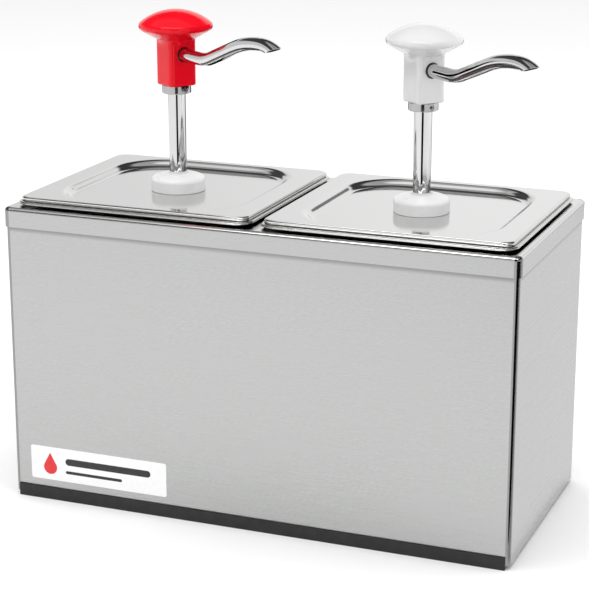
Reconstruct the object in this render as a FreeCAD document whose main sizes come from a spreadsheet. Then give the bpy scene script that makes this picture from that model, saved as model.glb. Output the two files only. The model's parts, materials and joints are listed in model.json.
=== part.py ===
import FreeCAD, Part

import math
import os

import Sketcher

# Twin condiment pump dispenser: a sheet-metal case that holds two deep pans, each with a lid
# and a hand pump.  Origin: middle of the front foot profile's underside, on the surface that
# the case stands on.  +X to the right, +Y to the back, +Z up, millimetres.

DRIVING = [
    # case
    ("rim_width", 364.0),
    ("rim_depth", 171.5),
    ("rim_top", 209.4),
    ("rim_band", 13.5),
    ("rim_corner", 4.2),
    ("rim_edge", 2.6),
    ("rim_proud", 1.1),
    ("case_sheet", 1.0),
    ("case_bend", 3.0),
    ("pan_pitch", 179.4),
    ("rim_hole_width", 168.0),
    ("rim_hole_depth", 154.0),
    ("rim_hole_corner", 22.0),
    ("foot_height", 9.0),
    ("foot_lift", 3.0),
    ("foot_leg", 1.05),
    ("foot_length", 355.6),
    ("label_width", 105.0),
    ("label_height", 24.5),
    ("label_thick", 0.2),
    ("label_corner", 1.5),
    ("label_side_gap", 13.0),
    ("label_foot_gap", 5.5),
    # pans and lids
    ("pan_width", 176.0),
    ("pan_depth", 162.0),
    ("pan_tall", 200.0),
    ("pan_rise", 3.2),
    ("pan_sheet", 0.8),
    ("pan_corner", 12.0),
    ("pan_mouth_width", 152.0),
    ("pan_mouth_depth", 138.0),
    ("pan_mouth_corner", 37.0),
    ("pan_taper", 4.2),
    ("pan_foot_round", 18.0),
    ("lid_inset", 3.8),
    ("lid_rise", 3.1),
    ("lid_sheet", 0.8),
    ("lid_corner", 6.5),
    ("lid_edge", 0.7),
    ("well_width", 134.0),
    ("well_depth", 140.0),
    ("well_corner", 36.0),
    ("well_drop", 4.1),
    ("well_slope", 42.0),
    # pump body
    ("neck_radius", 14.7),
    ("neck_gap", 0.5),
    ("bore_radius", 13.0),
    ("cylinder_foot", 40.0),
    ("flange_radius", 18.3),
    ("flange_thick", 3.2),
    ("gasket_thick", 1.2),
    ("neck_rise", 6.0),
    ("cap_radius", 19.0),
    ("cap_side", 9.8),
    ("cap_dome", 2.5),
    ("cap_edge", 2.0),
    ("thread_gap", 0.05),
    ("bush_flange_thick", 1.7),
    ("bush_neck_radius", 6.9),
    ("bush_neck_rise", 0.9),
    ("bush_sleeve_length", 9.6),
    ("rod_seal_radius", 9.0),
    ("rod_seal_thick", 3.0),
    ("running_gap", 0.06),
    # plunger
    ("tube_radius", 6.0),
    ("tube_wall", 1.8),
    ("tube_top", 299.0),
    ("piston_rest_gap", 0.3),
    ("piston_tall", 26.0),
    ("piston_side_gap", 0.4),
    ("piston_socket", 8.0),
    ("piston_inlet_radius", 3.2),
    ("piston_inlet_tall", 4.0),
    ("piston_chamber_radius", 5.0),
    ("piston_seal_low", 10.3),
    ("piston_seal_tall", 5.0),
    ("piston_seal_depth", 2.4),
    ("piston_pin_height", 14.6),
    ("outlet_ball_radius", 4.0),
    ("pin_radius", 0.8),
    ("ball_gap", 0.05),
    ("seat_thick", 2.5),
    ("seat_radius", 12.5),
    ("seat_hole", 7.0),
    ("seat_clear", 0.15),
    ("spring_radius", 11.0),
    ("spring_wire", 1.8),
    ("spring_turns", 11.0),
    ("ring_radius", 10.0),
    ("ring_tall", 5.6),
    ("ring_edge", 0.4),
    ("screw_radius", 2.0),
    ("screw_length", 3.4),
    ("screw_hex", 2.0),
    ("screw_socket", 1.8),
    # head and spout
    ("block_foot", 286.0),
    ("block_side", 21.0),
    ("block_corner", 3.0),
    ("block_edge", 0.8),
    ("knob_foot", 317.0),
    ("knob_neck_radius", 11.6),
    ("knob_radius", 25.6),
    ("knob_rim_in", 1.3),
    ("knob_brow_in", 0.6),
    ("knob_under", 324.0),
    ("knob_widest", 327.0),
    ("knob_brow", 329.3),
    ("knob_top", 338.0),
    ("spout_height", 307.9),
    ("spout_radius", 4.5),
    ("spout_wall", 0.8),
    ("spout_start", 5.0),
    ("spout_hole_radius", 5.4),
    ("spout_hole_depth", 3.0),
    ("spout_seal_thick", 2.2),
    ("spout_level_end", 32.0),
    ("spout_lift_radius", 45.0),
    ("spout_climb_slope", 20.0),
    ("spout_climb_length", 30.0),
    ("spout_crest_radius", 100.0),
    ("spout_nose_radius", 40.0),
    ("spout_nose_slope", 36.0),
    ("spout_lip_reach", 114.3),
    ("spout_lip_height", 322.4),
    ("spout_lip_tilt", 17.8),
    ("left_spout_bearing", 55.7),
    ("right_spout_bearing", 49.3),
    ("left_screw_bearing", 63.5),
    ("right_screw_bearing", 51.6),
    # inlet valve at the foot of the pump
    ("valve_foot", 20.0),
    ("valve_radius", 17.0),
    ("valve_socket", 4.0),
    ("valve_spigot", 10.0),
    ("valve_hole_radius", 4.5),
    ("valve_hole_tall", 8.0),
    ("valve_chamber_radius", 7.5),
    ("valve_notch_width", 6.0),
    ("valve_notch_tall", 3.5),
    ("valve_edge", 1.5),
    ("inlet_ball_radius", 6.0),
    ("inlet_pin_height", 23.3),
]

SIDES = {"left": -1, "right": 1}


class Size:
    """A length or an angle that carries both its value and its formula in the sheet."""

    def __init__(self, value, formula):
        self.value = float(value)
        self.formula = formula

    @staticmethod
    def of(item):
        if isinstance(item, Size):
            return item
        return Size(item, "(%r)" % float(item))

    def __add__(self, other):
        other = Size.of(other)
        return Size(self.value + other.value, "(%s + %s)" % (self.formula, other.formula))

    def __sub__(self, other):
        other = Size.of(other)
        return Size(self.value - other.value, "(%s - %s)" % (self.formula, other.formula))

    def __mul__(self, factor):
        return Size(self.value * factor, "(%s * %r)" % (self.formula, float(factor)))

    def __truediv__(self, factor):
        return self * (1.0 / factor)

    def __neg__(self):
        return self * -1.0

    __radd__ = __add__
    __rmul__ = __mul__


class Sheet:
    """The document's spreadsheet, read as attributes: dims.rim_top is a Size."""

    def __init__(self, doc, rows):
        self.cells = doc.addObject("Spreadsheet::Sheet", "dims")
        self.values = dict(rows)
        for row, (alias, value) in enumerate(rows, start=1):
            self.cells.set("A%d" % row, alias)
            self.cells.set("B%d" % row, str(value))
            self.cells.setAlias("B%d" % row, alias)
        doc.recompute()

    def __getattr__(self, alias):
        return Size(self.values[alias], "dims." + alias)


doc = FreeCAD.newDocument("condiment_pump_dispenser")
dims = Sheet(doc, DRIVING)
nodes = []

ZERO = Size.of(0)
TINY = 1e-6
MATCH = 1e-3
ABOUT_AXIS = "about the axis"


# ---------------------------------------------------------------- helpers


def bind(item, prop, size):
    """Sets a property to a size and keeps it tied to the sheet."""
    setattr(item, prop, size.value)
    item.setExpression(prop, size.formula)


def new_body(label):
    """An empty PartDesign body whose label is the node's name."""
    body = doc.addObject("PartDesign::Body", "Body")
    body.Label = label
    nodes.append(body)
    return body


def place(item, x=ZERO, z=ZERO, turn=ZERO):
    """Places an object on the case's middle plane, turned about Z by some degrees."""
    y = (dims.rim_depth - dims.rim_proud * 2 - dims.case_sheet) / 2
    x, z, turn = (Size.of(part) for part in (x, z, turn))
    item.setExpression(
        "Placement",
        "create(<<placement>>; create(<<vector>>; %s; %s; %s); "
        "create(<<rotation>>; create(<<vector>>; 0; 0; 1); %s))"
        % (x.formula, y.formula, z.formula, turn.formula),
    )


def origin_plane(body, role):
    """One of the body's own three planes."""
    for feature in body.Origin.OriginFeatures:
        if feature.Role == role:
            return feature
    raise LookupError(role)


def sketch_on(body, role, offset=ZERO):
    """An empty sketch on one of the body's planes, moved along the plane's normal."""
    sketch = body.newObject("Sketcher::SketchObject", "Sketch")
    sketch.AttachmentSupport = [(origin_plane(body, role), "")]
    sketch.MapMode = "FlatFace"
    offset = Size.of(offset)
    sketch.AttachmentOffset = FreeCAD.Placement(
        FreeCAD.Vector(0, 0, offset.value), FreeCAD.Rotation()
    )
    sketch.setExpression(".AttachmentOffset.Base.z", offset.formula)
    return sketch


def pin_point(sketch, line, end, point):
    """Ties one end of a sketch line to a point given as two sizes."""
    for kind, axis, size in (("DistanceX", -2, point[0]), ("DistanceY", -1, point[1])):
        if abs(size.value) < TINY:
            sketch.addConstraint(Sketcher.Constraint("PointOnObject", line, end, axis))
            continue
        index = sketch.addConstraint(
            Sketcher.Constraint(kind, -1, 1, line, end, size.value)
        )
        sketch.setExpression("Constraints[%d]" % index, size.formula)


def vector(point):
    return FreeCAD.Vector(point[0].value, point[1].value, 0)


def top_of_arc(start, end):
    """A point between two ends of an arc whose centre is on the upright axis."""
    near = vector(start)
    far = vector(end)
    centre = (near.Length**2 - far.Length**2) / (2 * (near.y - far.y))
    centre = FreeCAD.Vector(0, centre, 0)
    between = (near - centre) + (far - centre)
    between.normalize()
    return centre + between * (near - centre).Length


def draw_outline(sketch, points):
    """A closed outline through the points.

    Each point is (x, y), or (x, y, middle) where the stretch that leads to it is an arc
    through the point called middle, or an arc centred on the sketch's upright axis if
    middle is ABOUT_AXIS.
    """
    points = [tuple(Size.of(p) for p in point[:2]) + tuple(point[2:]) for point in points]
    count = len(points)
    curves = []
    for index, start in enumerate(points):
        end = points[(index + 1) % count]
        if len(end) == 3 and end[2] == ABOUT_AXIS:
            arc = Part.Arc(vector(start), top_of_arc(start, end), vector(end))
            curves.append((sketch.addGeometry(arc, False), ABOUT_AXIS))
        elif len(end) == 3:
            middle = tuple(Size.of(part) for part in end[2])
            arc = Part.Arc(vector(start), vector(middle), vector(end))
            curves.append((sketch.addGeometry(arc, False), middle))
        else:
            line = Part.LineSegment(vector(start), vector(end))
            curves.append((sketch.addGeometry(line, False), None))
    ends = []
    for index, (curve, middle) in enumerate(curves):
        first = sketch.getPoint(curve, 1)
        forwards = first.distanceToPoint(vector(points[index])) < MATCH
        ends.append((1, 2) if forwards else (2, 1))
    for index, (curve, middle) in enumerate(curves):
        after = (index + 1) % count
        sketch.addConstraint(
            Sketcher.Constraint(
                "Coincident", curve, ends[index][1], curves[after][0], ends[after][0]
            )
        )
    for index, (curve, middle) in enumerate(curves):
        pin_point(sketch, curve, ends[index][0], points[index])
        if middle == ABOUT_AXIS:
            sketch.addConstraint(Sketcher.Constraint("PointOnObject", curve, 3, -2))
        elif middle is not None:
            mark = sketch.addGeometry(Part.Point(vector(middle)), True)
            pin_point(sketch, mark, 1, middle)
            sketch.addConstraint(Sketcher.Constraint("PointOnObject", mark, 1, curve))


def rectangle(width, depth, x=ZERO, y=ZERO):
    """The corners of a rectangle about a centre."""
    left = x - width / 2
    right = x + width / 2
    front = y - depth / 2
    back = y + depth / 2
    return [(left, front), (right, front), (right, back), (left, back)]


def rounded(width, depth, corner, x=ZERO, y=ZERO):
    """A rectangle whose corners are arcs, for draw_outline."""
    cut = corner * (1 - math.sqrt(0.5))
    points = []
    for across, along in ((1, -1), (1, 1), (-1, 1), (-1, -1)):
        edge_x = x + width * (across / 2)
        edge_y = y + depth * (along / 2)
        on_end = (edge_x - corner * across, edge_y)
        on_side = (edge_x, edge_y - corner * along)
        middle = (edge_x - cut * across, edge_y - cut * along)
        if across * along < 0:
            points += [on_end, on_side + (middle,)]
        else:
            points += [on_side, on_end + (middle,)]
    return points


def draw_circle(sketch, radius, x=ZERO, y=ZERO):
    """A circle bound by its radius and its centre."""
    circle = Part.Circle(
        FreeCAD.Vector(x.value, y.value, 0), FreeCAD.Vector(0, 0, 1), radius.value
    )
    index = sketch.addGeometry(circle, False)
    size = sketch.addConstraint(Sketcher.Constraint("Radius", index, radius.value))
    sketch.setExpression("Constraints[%d]" % size, radius.formula)
    pin_point(sketch, index, 3, (x, y))


def pad(body, sketch, length, up=True, taper=None):
    """Adds material along the sketch's normal, or against it."""
    feature = body.newObject("PartDesign::Pad", "Pad")
    feature.Profile = sketch
    bind(feature, "Length", length)
    feature.Reversed = not up
    if taper is not None:
        bind(feature, "TaperAngle", -taper)
    doc.recompute()
    return feature


def pocket(body, sketch, length, up=False, taper=None, both=False):
    """Removes material along or against the sketch's normal, and checks that it did."""
    before = body.Shape.Volume
    feature = body.newObject("PartDesign::Pocket", "Pocket")
    feature.Profile = sketch
    bind(feature, "Length", length)
    feature.Reversed = up
    feature.Midplane = both
    if taper is not None:
        bind(feature, "TaperAngle", -taper)
    doc.recompute()
    if not body.Shape.Volume < before - MATCH:
        raise RuntimeError("a pocket in %s cuts nothing" % body.Label)
    return feature


def revolve(body, points):
    """A turned solid: the outline's points are (radius, height)."""
    sketch = sketch_on(body, "XZ_Plane")
    draw_outline(sketch, points)
    feature = body.newObject("PartDesign::Revolution", "Revolution")
    feature.Profile = sketch
    feature.ReferenceAxis = (sketch, ["V_Axis"])
    feature.Angle = 360.0
    doc.recompute()
    return feature


def edge_names(shape, wanted):
    return [
        "Edge%d" % (index + 1) for index, edge in enumerate(shape.Edges) if wanted(edge)
    ]


def round_edges(body, radius, wanted):
    """Fillets every edge of the body's tip that the test accepts."""
    base = body.Tip
    names = edge_names(base.Shape, wanted)
    if not names:
        raise RuntimeError("no edge to round on " + body.Label)
    feature = body.newObject("PartDesign::Fillet", "Fillet")
    feature.Base = (base, names)
    bind(feature, "Radius", radius)
    doc.recompute()
    return feature


def flat_at(height):
    """Accepts an edge that lies wholly at one height."""

    def test(edge):
        box = edge.BoundBox
        return box.ZLength < MATCH and abs(box.ZMax - height.value) < MATCH

    return test


def circle_at(radius, height):
    """Accepts a whole circle about the Z axis."""

    def test(edge):
        curve = edge.Curve
        return (
            isinstance(curve, Part.Circle)
            and abs(curve.Radius - radius.value) < MATCH
            and abs(curve.Center.z - height.value) < MATCH
        )

    return test


def round_circle(body, fillet, *circles):
    """Fillets circular edges given as (radius, height)."""
    tests = [circle_at(radius, height) for radius, height in circles]
    return round_edges(body, fillet, lambda edge: any(test(edge) for test in tests))


# ---------------------------------------------------------------- derived sizes

shell_width = dims.rim_width - dims.rim_proud * 2
shell_depth = dims.rim_depth - dims.rim_proud * 2
pan_top = dims.rim_top + dims.pan_rise
lid_top = pan_top + dims.lid_rise
well_floor = lid_top - dims.well_drop
lid_under = well_floor - dims.lid_sheet
flange_top = lid_under - dims.gasket_thick
neck_top = well_floor + dims.neck_rise
cap_edge_top = well_floor + dims.cap_side
cap_top = cap_edge_top + dims.cap_dome
bush_flange_top = neck_top + dims.bush_flange_thick
bush_top = cap_top + dims.bush_neck_rise
bush_foot = neck_top - dims.bush_sleeve_length
piston_top = bush_foot - dims.piston_rest_gap
piston_foot = piston_top - dims.piston_tall
tube_foot = piston_top - dims.piston_socket
seat_top = piston_foot - dims.seat_clear
seat_foot = seat_top - dims.seat_thick
valve_top = dims.cylinder_foot + dims.valve_spigot
ring_foot = dims.block_foot - dims.ring_tall
rod_hole = dims.tube_radius + dims.running_gap


def side_x(side):
    """Where a side's pump axis stands."""
    return dims.pan_pitch * (SIDES[side] / 2)


# ---------------------------------------------------------------- case


def make_case_shell():
    """The wrapped sheet wall: four sides with bent corners, open above and below."""
    body = new_body("case_shell")
    height = dims.rim_top - dims.case_sheet - dims.foot_lift
    outer = sketch_on(body, "XY_Plane", dims.foot_lift)
    draw_outline(outer, rounded(shell_width, shell_depth, dims.case_bend))
    pad(body, outer, height)
    inner_width = shell_width - dims.case_sheet * 2
    inner_depth = shell_depth - dims.case_sheet * 2
    inner = sketch_on(body, "XY_Plane", dims.foot_lift)
    inner_bend = dims.case_bend - dims.case_sheet
    draw_outline(inner, rounded(inner_width, inner_depth, inner_bend))
    pocket(body, inner, height, up=True)
    place(body)


def make_rim_frame():
    """The drawn top cover: a plate with two pan holes and a band that laps the wall."""
    body = new_body("rim_frame")
    outer = sketch_on(body, "XY_Plane", dims.rim_top)
    draw_outline(outer, rounded(dims.rim_width, dims.rim_depth, dims.rim_corner))
    pad(body, outer, dims.rim_band, up=False)
    round_edges(body, dims.rim_edge, flat_at(dims.rim_top))
    inner = sketch_on(body, "XY_Plane", dims.rim_top - dims.rim_band)
    inner_width = dims.rim_width - dims.case_sheet * 2
    inner_depth = dims.rim_depth - dims.case_sheet * 2
    inner_corner = dims.rim_corner - dims.case_sheet
    draw_outline(inner, rounded(inner_width, inner_depth, inner_corner))
    pocket(body, inner, dims.rim_band - dims.case_sheet, up=True)
    hole_size = (dims.rim_hole_width, dims.rim_hole_depth, dims.rim_hole_corner)
    for side in SIDES:
        hole = sketch_on(body, "XY_Plane", dims.rim_top)
        draw_outline(hole, rounded(*hole_size, side_x(side)))
        pocket(body, hole, dims.rim_band)
    place(body)


def make_foot_profile(name, facing):
    """A black U-shaped edge profile pushed on to the wall's lower edge."""
    body = new_body(name)
    wall = shell_depth / 2
    leg = dims.foot_leg
    sheet = dims.case_sheet
    out = wall + leg
    back = wall - sheet - leg
    points = [
        (back, ZERO),
        (out, ZERO),
        (out, dims.foot_height),
        (wall, dims.foot_height),
        (wall, dims.foot_lift),
        (wall - sheet, dims.foot_lift),
        (wall - sheet, dims.foot_height),
        (back, dims.foot_height),
    ]
    sketch = sketch_on(body, "YZ_Plane")
    draw_outline(sketch, [(y * facing, z) for y, z in points])
    feature = pad(body, sketch, dims.foot_length)
    feature.Midplane = True
    place(body)


def make_label():
    """A thin plain label on the front wall."""
    body = new_body("front_label")
    left = -(shell_width / 2) + dims.label_side_gap
    low = dims.foot_height + dims.label_foot_gap
    centre_x = left + dims.label_width / 2
    centre_z = low + dims.label_height / 2
    sketch = sketch_on(body, "XZ_Plane", shell_depth / 2)
    label_size = (dims.label_width, dims.label_height, dims.label_corner)
    draw_outline(sketch, rounded(*label_size, centre_x, centre_z))
    pad(body, sketch, dims.label_thick)
    place(body)


# ---------------------------------------------------------------- pans and lids


def make_pan(side):
    """A deep drawn pan: a flange with a turned-down edge and a tapered bowl."""
    body = new_body("pan_" + side)
    sheet = dims.pan_sheet
    foot = pan_top - dims.pan_tall

    plate = sketch_on(body, "XY_Plane", pan_top)
    draw_outline(plate, rounded(dims.pan_width, dims.pan_depth, dims.pan_corner))
    pad(body, plate, dims.pan_rise, up=False)
    round_edges(body, sheet, flat_at(pan_top))

    hollow = sketch_on(body, "XY_Plane", dims.rim_top)
    hollow_width = dims.pan_width - sheet * 2
    hollow_depth = dims.pan_depth - sheet * 2
    draw_outline(hollow, rounded(hollow_width, hollow_depth, dims.pan_corner - sheet))
    pocket(body, hollow, dims.pan_rise - sheet, up=True)

    under = pan_top - sheet
    bowl_width = dims.pan_mouth_width + sheet * 2
    bowl_depth = dims.pan_mouth_depth + sheet * 2
    bowl = sketch_on(body, "XY_Plane", under)
    draw_outline(bowl, rounded(bowl_width, bowl_depth, dims.pan_mouth_corner + sheet))
    pad(body, bowl, under - foot, up=False, taper=dims.pan_taper)

    inside = sketch_on(body, "XY_Plane", pan_top)
    mouth = (dims.pan_mouth_width, dims.pan_mouth_depth, dims.pan_mouth_corner)
    draw_outline(inside, rounded(*mouth))
    floor = foot + sheet
    pocket(body, inside, pan_top - floor, taper=dims.pan_taper)
    round_edges(body, dims.pan_foot_round - sheet, flat_at(floor))
    round_edges(body, dims.pan_foot_round, flat_at(foot))
    place(body, side_x(side))
    return body


def make_lid(side):
    """A pressed lid: turned-down edge, sunken well and the hole for the pump's neck."""
    body = new_body("lid_" + side)
    sheet = dims.lid_sheet
    width = dims.pan_width - dims.lid_inset * 2
    depth = dims.pan_depth - dims.lid_inset * 2

    plate = sketch_on(body, "XY_Plane", lid_top)
    draw_outline(plate, rounded(width, depth, dims.lid_corner))
    pad(body, plate, dims.lid_rise, up=False)
    round_edges(body, dims.lid_edge, flat_at(lid_top))

    hollow = sketch_on(body, "XY_Plane", pan_top)
    hollow_width = width - sheet * 2
    hollow_depth = depth - sheet * 2
    draw_outline(hollow, rounded(hollow_width, hollow_depth, dims.lid_corner - sheet))
    pocket(body, hollow, dims.lid_rise - sheet, up=True)

    under = lid_top - sheet
    well = sketch_on(body, "XY_Plane", under)
    well_width = dims.well_width + sheet * 2
    well_depth = dims.well_depth + sheet * 2
    draw_outline(well, rounded(well_width, well_depth, dims.well_corner + sheet))
    pad(body, well, dims.well_drop, up=False, taper=dims.well_slope)

    inside = sketch_on(body, "XY_Plane", lid_top)
    draw_outline(inside, rounded(dims.well_width, dims.well_depth, dims.well_corner))
    pocket(body, inside, dims.well_drop, taper=dims.well_slope)

    neck_hole = sketch_on(body, "XY_Plane", lid_top)
    draw_circle(neck_hole, dims.neck_radius + dims.neck_gap)
    pocket(body, neck_hole, dims.well_drop + sheet * 2)
    place(body, side_x(side))
    return body


# ---------------------------------------------------------------- pump, fixed in the lid


def make_gasket(side):
    """The seal between the lid's underside and the cylinder's flange."""
    body = new_body("lid_gasket_" + side)
    inner = dims.neck_radius + dims.neck_gap / 2
    outer = dims.flange_radius - dims.neck_gap
    revolve(
        body,
        [(inner, flange_top), (outer, flange_top), (outer, lid_under), (inner, lid_under)],
    )
    place(body, side_x(side))


def make_cylinder(side):
    """The pump barrel, with a flange under the lid and a threaded neck above it."""
    body = new_body("cylinder_" + side)
    flange_foot = flange_top - dims.flange_thick
    foot = dims.cylinder_foot
    revolve(
        body,
        [
            (dims.bore_radius, foot),
            (dims.neck_radius, foot),
            (dims.neck_radius, flange_foot),
            (dims.flange_radius, flange_foot),
            (dims.flange_radius, flange_top),
            (dims.neck_radius, flange_top),
            (dims.neck_radius, neck_top),
            (dims.bore_radius, neck_top),
        ],
    )
    place(body, side_x(side))


def make_cap_nut(side):
    """The round nut on top of the lid, with a rounded edge and a low domed roof."""
    body = new_body("cap_nut_" + side)
    bore = dims.neck_radius + dims.thread_gap
    hole = dims.bush_neck_radius + dims.thread_gap
    side_top = cap_edge_top - dims.cap_edge
    roof_edge = dims.cap_radius - dims.cap_edge
    brow = dims.cap_edge * (1 - math.sqrt(0.5))
    revolve(
        body,
        [
            (bore, well_floor),
            (dims.cap_radius, well_floor),
            (dims.cap_radius, side_top),
            (roof_edge, cap_edge_top, (dims.cap_radius - brow, cap_edge_top - brow)),
            (hole, cap_top, ABOUT_AXIS),
            (hole, bush_flange_top),
            (bore, bush_flange_top),
        ],
    )
    place(body, side_x(side))


def make_guide_bush(side):
    """The flanged bush, held down by the cap nut, that guides the piston tube."""
    body = new_body("guide_bush_" + side)
    sleeve = dims.bore_radius - dims.thread_gap
    flange = dims.neck_radius - dims.thread_gap
    seal_top = bush_foot + dims.rod_seal_thick
    revolve(
        body,
        [
            (dims.rod_seal_radius, bush_foot),
            (sleeve, bush_foot),
            (sleeve, neck_top),
            (flange, neck_top),
            (flange, bush_flange_top),
            (dims.bush_neck_radius, bush_flange_top),
            (dims.bush_neck_radius, bush_top),
            (rod_hole, bush_top),
            (rod_hole, seal_top),
            (dims.rod_seal_radius, seal_top),
        ],
    )
    place(body, side_x(side))


def make_rod_seal(side):
    """The soft ring in the bush that wipes the piston tube."""
    body = new_body("rod_seal_" + side)
    top = bush_foot + dims.rod_seal_thick
    revolve(
        body,
        [
            (rod_hole, bush_foot),
            (dims.rod_seal_radius, bush_foot),
            (dims.rod_seal_radius, top),
            (rod_hole, top),
        ],
    )
    place(body, side_x(side))


def make_foot_valve(side):
    """The inlet fitting at the barrel's lower end: seat, ball chamber and inlet notches."""
    body = new_body("foot_valve_" + side)
    spigot = dims.bore_radius - dims.thread_gap
    socket = dims.neck_radius + dims.thread_gap
    seat = dims.valve_foot + dims.valve_hole_tall
    collar_top = dims.cylinder_foot + dims.valve_socket
    revolve(
        body,
        [
            (dims.valve_hole_radius, dims.valve_foot),
            (dims.valve_radius - dims.valve_edge, dims.valve_foot),
            (dims.valve_radius, dims.valve_foot + dims.valve_edge),
            (dims.valve_radius, collar_top),
            (socket, collar_top),
            (socket, dims.cylinder_foot),
            (spigot, dims.cylinder_foot),
            (spigot, valve_top),
            (dims.valve_chamber_radius, valve_top),
            (dims.valve_chamber_radius, seat + dims.valve_edge),
            (dims.valve_hole_radius, seat),
        ],
    )
    across = dims.valve_radius * 2 + dims.valve_edge
    for width, depth in ((across, dims.valve_notch_width), (dims.valve_notch_width, across)):
        notch = sketch_on(body, "XY_Plane", dims.valve_foot)
        draw_outline(notch, rectangle(width, depth))
        pocket(body, notch, dims.valve_notch_tall, up=True)
    drill_across(body, dims.valve_foot + dims.inlet_pin_height, spigot)
    place(body, side_x(side))


def drill_across(body, height, reach):
    """A hole for a ball's cross pin, right through along X."""
    hole = sketch_on(body, "YZ_Plane")
    draw_circle(hole, dims.pin_radius, ZERO, height)
    pocket(body, hole, reach * 2 + dims.valve_edge, both=True)


def make_cross_pin(name, side, height, reach):
    """The pin across a valve chamber that stops its ball."""
    body = new_body(name)
    sketch = sketch_on(body, "YZ_Plane")
    draw_circle(sketch, dims.pin_radius, ZERO, height)
    feature = pad(body, sketch, reach * 2)
    feature.Midplane = True
    doc.recompute()
    place(body, side_x(side))


def make_ball(name, side, radius, seat_radius, seat_height):
    """A valve ball that stands on the edge of its seat."""
    rise = math.sqrt(radius.value**2 - seat_radius.value**2)
    centre = seat_height + dims.ball_gap + Size(rise, root_difference(radius, seat_radius))
    ball = doc.addObject("Part::Sphere", "Sphere")
    ball.Label = name
    bind(ball, "Radius", radius)
    place(ball, side_x(side), centre)
    nodes.append(ball)


def root_difference(longer, shorter):
    """The sheet formula of the third side of a right-angled triangle."""
    return "sqrt(%s^2 - %s^2)" % (longer.formula, shorter.formula)


def make_spring(side):
    """The return spring between the foot valve and the spring seat."""
    wire = dims.spring_wire
    foot = valve_top + wire / 2
    tall = seat_foot - valve_top - wire
    helix = doc.addObject("Part::Helix", "Coil")
    bind(helix, "Radius", dims.spring_radius)
    bind(helix, "Height", tall)
    bind(helix, "Pitch", tall / dims.spring_turns.value)
    section = doc.addObject("Part::Circle", "WireSection")
    bind(section, "Radius", wire / 2)
    section.Placement = FreeCAD.Placement(
        FreeCAD.Vector(dims.spring_radius.value, 0, 0),
        FreeCAD.Rotation(FreeCAD.Vector(1, 0, 0), 90),
    )
    section.setExpression(".Placement.Base.x", dims.spring_radius.formula)
    spring = doc.addObject("Part::Sweep", "Spring")
    spring.Sections = [section]
    spring.Spine = (helix, [])
    spring.Solid = True
    spring.Frenet = True
    spring.Label = "return_spring_" + side
    place(spring, side_x(side), foot)
    nodes.append(spring)


# ---------------------------------------------------------------- plunger


def make_spring_seat(side):
    """The loose washer between the spring and the piston, on which the plunger turns."""
    body = new_body("spring_seat_" + side)
    revolve(
        body,
        [
            (dims.seat_hole, seat_foot),
            (dims.seat_radius, seat_foot),
            (dims.seat_radius, seat_top),
            (dims.seat_hole, seat_top),
        ],
    )
    place(body, side_x(side))


def make_piston(side):
    """The piston: outlet valve seat below, socket for the piston tube above."""
    body = new_body("piston_" + side)
    outer = dims.bore_radius - dims.piston_side_gap
    waist = dims.bore_radius - dims.piston_seal_depth
    seat = piston_foot + dims.piston_inlet_tall
    groove_foot = piston_foot + dims.piston_seal_low
    groove_top = groove_foot + dims.piston_seal_tall
    chamber = dims.piston_chamber_radius
    seat_run = chamber - dims.piston_inlet_radius
    revolve(
        body,
        [
            (dims.piston_inlet_radius, piston_foot),
            (outer, piston_foot),
            (outer, groove_foot),
            (waist, groove_foot),
            (waist, groove_top),
            (outer, groove_top),
            (outer, piston_top),
            (dims.tube_radius, piston_top),
            (dims.tube_radius, tube_foot),
            (chamber, tube_foot),
            (chamber, seat + seat_run),
            (dims.piston_inlet_radius, seat),
        ],
    )
    drill_across(body, piston_foot + dims.piston_pin_height, waist)
    place(body, side_x(side))


def make_piston_seal(side):
    """The ring in the piston's groove that runs on the barrel's wall."""
    body = new_body("piston_seal_" + side)
    inner = dims.bore_radius - dims.piston_seal_depth
    outer = dims.bore_radius - dims.running_gap
    foot = piston_foot + dims.piston_seal_low
    top = foot + dims.piston_seal_tall
    revolve(body, [(inner, foot), (outer, foot), (outer, top), (inner, top)])
    place(body, side_x(side))


def make_piston_tube(side):
    """The hollow rod that carries the sauce from the piston up to the head."""
    body = new_body("piston_tube_" + side)
    inner = dims.tube_radius - dims.tube_wall
    revolve(
        body,
        [
            (inner, tube_foot),
            (dims.tube_radius, tube_foot),
            (dims.tube_radius, dims.tube_top),
            (inner, dims.tube_top),
        ],
    )
    place(body, side_x(side))


def screw_bearing(side):
    return {"left": dims.left_screw_bearing, "right": dims.right_screw_bearing}[side]


def make_portion_ring(side):
    """The collar on the tube that sets the stroke, with a hole for its screw."""
    body = new_body("portion_ring_" + side)
    revolve(
        body,
        [
            (dims.tube_radius, ring_foot),
            (dims.ring_radius, ring_foot),
            (dims.ring_radius, dims.block_foot),
            (dims.tube_radius, dims.block_foot),
        ],
    )
    rims = [(dims.ring_radius, ring_foot), (dims.ring_radius, dims.block_foot)]
    round_circle(body, dims.ring_edge, *rims)
    hole = sketch_on(body, "YZ_Plane")
    draw_circle(hole, dims.screw_radius, ZERO, ring_foot + dims.ring_tall / 2)
    pocket(body, hole, dims.ring_radius, up=True)
    place(body, side_x(side), turn=screw_bearing(side) - 90)


def make_grub_screw(side):
    """The socket screw that clamps the portion ring to the tube."""
    body = new_body("grub_screw_" + side)
    height = ring_foot + dims.ring_tall / 2
    outer_end = dims.tube_radius + dims.screw_length
    shank = sketch_on(body, "YZ_Plane", dims.tube_radius)
    draw_circle(shank, dims.screw_radius, ZERO, height)
    pad(body, shank, dims.screw_length)
    socket = sketch_on(body, "YZ_Plane", outer_end)
    corners = []
    for step in range(6):
        angle = math.radians(60 * step)
        across = dims.screw_hex / math.sqrt(3)
        corners.append((across * math.cos(angle), height + across * math.sin(angle)))
    draw_outline(socket, corners)
    pocket(body, socket, dims.screw_socket)
    place(body, side_x(side), turn=screw_bearing(side) - 90)


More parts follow.
